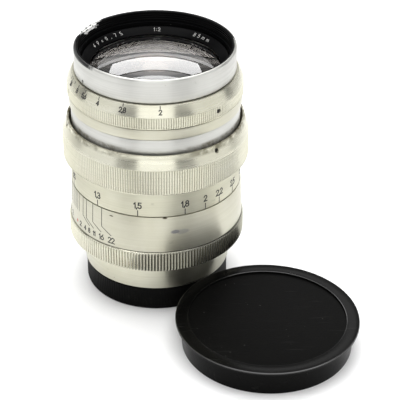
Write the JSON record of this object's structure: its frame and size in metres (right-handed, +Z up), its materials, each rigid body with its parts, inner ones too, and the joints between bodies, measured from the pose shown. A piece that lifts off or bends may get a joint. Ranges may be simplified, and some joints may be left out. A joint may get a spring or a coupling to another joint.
{
  "type": "screw-mount camera lens",
  "caption": "Short telephoto screw-mount lens in satin aluminium with knurled focus and aperture rings and a leaf iris, standing on its rear cap with its front cap beside it.",
  "frame": {"origin": "on the optical axis, at the flat bottom face of the rear cap that the lens stands on", "axes": "+Z up along the optical axis towards the front glass; -Y towards the viewer, +X to the viewer's right; the front cap lies at +X, -Y"},
  "size_m": [0.0939, 0.1001, 0.085],
  "materials": {
    "satin_aluminium": "satin, slightly yellowed, with fine turning marks, knurled bands and light scratches",
    "bright_aluminium": "bright turned aluminium with fine circular marks",
    "black_paint": "satin black paint, chipped to bare metal in places on the rim",
    "black_anodised": "matt black anodised",
    "black_plastic": "satin black moulded plastic with fine grain and dust",
    "brass": "plain turned brass, greased",
    "steel": "plain steel",
    "blade_steel": "thin blued steel leaf",
    "coated_glass": "polished glass with an amber and purple coating"
  },
  "bodies": {
    "mount": {"mount_flange": "satin_aluminium", "mount_grip_ring": "satin_aluminium", "depth_scale_barrel": "satin_aluminium", "guide_sleeve": "brass", "guide_key_1": "steel", "guide_key_2": "steel", "focus_retaining_ring": "brass", "focus_stop_screw": "steel"},
    "focus": {"focus_ring": "satin_aluminium", "distance_scale_ring": "satin_aluminium", "focus_helicoid": "brass", "focus_grub_screw_1": "steel", "focus_grub_screw_2": "steel", "focus_grub_screw_3": "steel"},
    "head": {"head_tube": "bright_aluminium", "head_collar": "satin_aluminium", "optical_block": "black_anodised", "front_barrel": "bright_aluminium", "filter_ring": "black_paint", "name_ring": "black_paint", "front_element": "coated_glass", "second_group_cell": "black_anodised", "second_group_ring": "black_anodised", "second_group_front_lens": "coated_glass", "second_group_middle_lens": "coated_glass", "second_group_rear_lens": "coated_glass", "rear_cell": "black_anodised", "rear_retaining_ring": "black_anodised", "rear_group_front_lens": "coated_glass", "rear_group_middle_lens": "coated_glass", "rear_group_rear_lens": "coated_glass", "iris_housing": "black_anodised", "iris_cover_ring": "black_anodised"},
    "aperture": {"aperture_ring": "satin_aluminium", "aperture_drive_screw": "steel", "aperture_grub_screw_1": "steel", "aperture_grub_screw_2": "steel", "aperture_grub_screw_3": "steel", "iris_fork": "steel", "iris_actuator_ring": "black_anodised"},
    "rangefinder_cam": {"rangefinder_cam_tube": "brass"},
    "rear_cap": {"rear_cap": "black_plastic"},
    "front_cap": {"front_cap": "black_plastic"},
    "iris_blade_01": {"iris_blade_01": "blade_steel"},
    "iris_blade_02": {"iris_blade_02": "blade_steel"},
    "iris_blade_03": {"iris_blade_03": "blade_steel"},
    "iris_blade_04": {"iris_blade_04": "blade_steel"},
    "iris_blade_05": {"iris_blade_05": "blade_steel"},
    "iris_blade_06": {"iris_blade_06": "blade_steel"},
    "iris_blade_07": {"iris_blade_07": "blade_steel"},
    "iris_blade_08": {"iris_blade_08": "blade_steel"},
    "iris_blade_09": {"iris_blade_09": "blade_steel"},
    "iris_blade_10": {"iris_blade_10": "blade_steel"},
    "iris_blade_11": {"iris_blade_11": "blade_steel"},
    "iris_blade_12": {"iris_blade_12": "blade_steel"},
    "iris_blade_13": {"iris_blade_13": "blade_steel"},
    "iris_blade_14": {"iris_blade_14": "blade_steel"},
    "iris_blade_15": {"iris_blade_15": "blade_steel"}
  },
  "joints": [
    {"name": "focus_turn", "type": "hinge", "parent": "mount", "child": "focus", "pos_m": [0, 0, 0.05], "axis": [0, 0, 1], "range_deg": [-224.6, 5]},
    {"name": "head_travel", "type": "slide", "parent": "mount", "child": "head", "axis": [0, 0, 1], "range_m": [-0.00728, 0.00017]},
    {"name": "rangefinder_cam_travel", "type": "slide", "parent": "mount", "child": "rangefinder_cam", "axis": [0, 0, 1], "range_m": [-0.00251, 0.00007]},
    {"name": "aperture_turn", "type": "hinge", "parent": "head", "child": "aperture", "pos_m": [0, 0, 0.0716], "axis": [0, 0, 1], "range_deg": [-63.5, 16.3]},
    {"name": "rear_cap_lift_off", "type": "slide", "parent": "mount", "child": "rear_cap", "axis": [0, 0, -1], "range_m": [0, 0.03]},
    {"name": "front_cap_lift_away", "type": "slide", "parent": "mount", "child": "front_cap", "axis": [0.4575, -0.5392, 0.7071], "range_m": [0, 0.1]},
    {"name": "iris_blade_01_swing", "type": "hinge", "parent": "head", "child": "iris_blade_01", "pos_m": [0.0162, 0, 0.05275], "axis": [0, 0, 1], "range_deg": [-33, 8.5]},
    {"name": "iris_blade_02_swing", "type": "hinge", "parent": "head", "child": "iris_blade_02", "pos_m": [0.0148, 0.00659, 0.05275], "axis": [0, 0, 1], "range_deg": [-33, 8.5]},
    {"name": "iris_blade_03_swing", "type": "hinge", "parent": "head", "child": "iris_blade_03", "pos_m": [0.01084, 0.01204, 0.05275], "axis": [0, 0, 1], "range_deg": [-33, 8.5]},
    {"name": "iris_blade_04_swing", "type": "hinge", "parent": "head", "child": "iris_blade_04", "pos_m": [0.00501, 0.01541, 0.05275], "axis": [0, 0, 1], "range_deg": [-33, 8.5]},
    {"name": "iris_blade_05_swing", "type": "hinge", "parent": "head", "child": "iris_blade_05", "pos_m": [-0.00169, 0.01611, 0.05275], "axis": [0, 0, 1], "range_deg": [-33, 8.5]},
    {"name": "iris_blade_06_swing", "type": "hinge", "parent": "head", "child": "iris_blade_06", "pos_m": [-0.0081, 0.01403, 0.05275], "axis": [0, 0, 1], "range_deg": [-33, 8.5]},
    {"name": "iris_blade_07_swing", "type": "hinge", "parent": "head", "child": "iris_blade_07", "pos_m": [-0.01311, 0.00952, 0.05275], "axis": [0, 0, 1], "range_deg": [-33, 8.5]},
    {"name": "iris_blade_08_swing", "type": "hinge", "parent": "head", "child": "iris_blade_08", "pos_m": [-0.01585, 0.00337, 0.05275], "axis": [0, 0, 1], "range_deg": [-33, 8.5]},
    {"name": "iris_blade_09_swing", "type": "hinge", "parent": "head", "child": "iris_blade_09", "pos_m": [-0.01585, -0.00337, 0.05275], "axis": [0, 0, 1], "range_deg": [-33, 8.5]},
    {"name": "iris_blade_10_swing", "type": "hinge", "parent": "head", "child": "iris_blade_10", "pos_m": [-0.01311, -0.00952, 0.05275], "axis": [0, 0, 1], "range_deg": [-33, 8.5]},
    {"name": "iris_blade_11_swing", "type": "hinge", "parent": "head", "child": "iris_blade_11", "pos_m": [-0.0081, -0.01403, 0.05275], "axis": [0, 0, 1], "range_deg": [-33, 8.5]},
    {"name": "iris_blade_12_swing", "type": "hinge", "parent": "head", "child": "iris_blade_12", "pos_m": [-0.00169, -0.01611, 0.05275], "axis": [0, 0, 1], "range_deg": [-33, 8.5]},
    {"name": "iris_blade_13_swing", "type": "hinge", "parent": "head", "child": "iris_blade_13", "pos_m": [0.00501, -0.01541, 0.05275], "axis": [0, 0, 1], "range_deg": [-33, 8.5]},
    {"name": "iris_blade_14_swing", "type": "hinge", "parent": "head", "child": "iris_blade_14", "pos_m": [0.01084, -0.01204, 0.05275], "axis": [0, 0, 1], "range_deg": [-33, 8.5]},
    {"name": "iris_blade_15_swing", "type": "hinge", "parent": "head", "child": "iris_blade_15", "pos_m": [0.0148, -0.00659, 0.05275], "axis": [0, 0, 1], "range_deg": [-33, 8.5]}
  ],
  "couplings": [
    {"joint": "head_travel", "follows": "focus_turn", "m_per_rad": 0.001854},
    {"joint": "rangefinder_cam_travel", "follows": "focus_turn", "m_per_rad": 0.000638},
    {"joint": "iris_blade_01_swing", "follows": "aperture_turn", "ratio": 0.519},
    {"joint": "iris_blade_02_swing", "follows": "aperture_turn", "ratio": 0.519},
    {"joint": "iris_blade_03_swing", "follows": "aperture_turn", "ratio": 0.519},
    {"joint": "iris_blade_04_swing", "follows": "aperture_turn", "ratio": 0.519},
    {"joint": "iris_blade_05_swing", "follows": "aperture_turn", "ratio": 0.519},
    {"joint": "iris_blade_06_swing", "follows": "aperture_turn", "ratio": 0.519},
    {"joint": "iris_blade_07_swing", "follows": "aperture_turn", "ratio": 0.519},
    {"joint": "iris_blade_08_swing", "follows": "aperture_turn", "ratio": 0.519},
    {"joint": "iris_blade_09_swing", "follows": "aperture_turn", "ratio": 0.519},
    {"joint": "iris_blade_10_swing", "follows": "aperture_turn", "ratio": 0.519},
    {"joint": "iris_blade_11_swing", "follows": "aperture_turn", "ratio": 0.519},
    {"joint": "iris_blade_12_swing", "follows": "aperture_turn", "ratio": 0.519},
    {"joint": "iris_blade_13_swing", "follows": "aperture_turn", "ratio": 0.519},
    {"joint": "iris_blade_14_swing", "follows": "aperture_turn", "ratio": 0.519},
    {"joint": "iris_blade_15_swing", "follows": "aperture_turn", "ratio": 0.519}
  ]
}
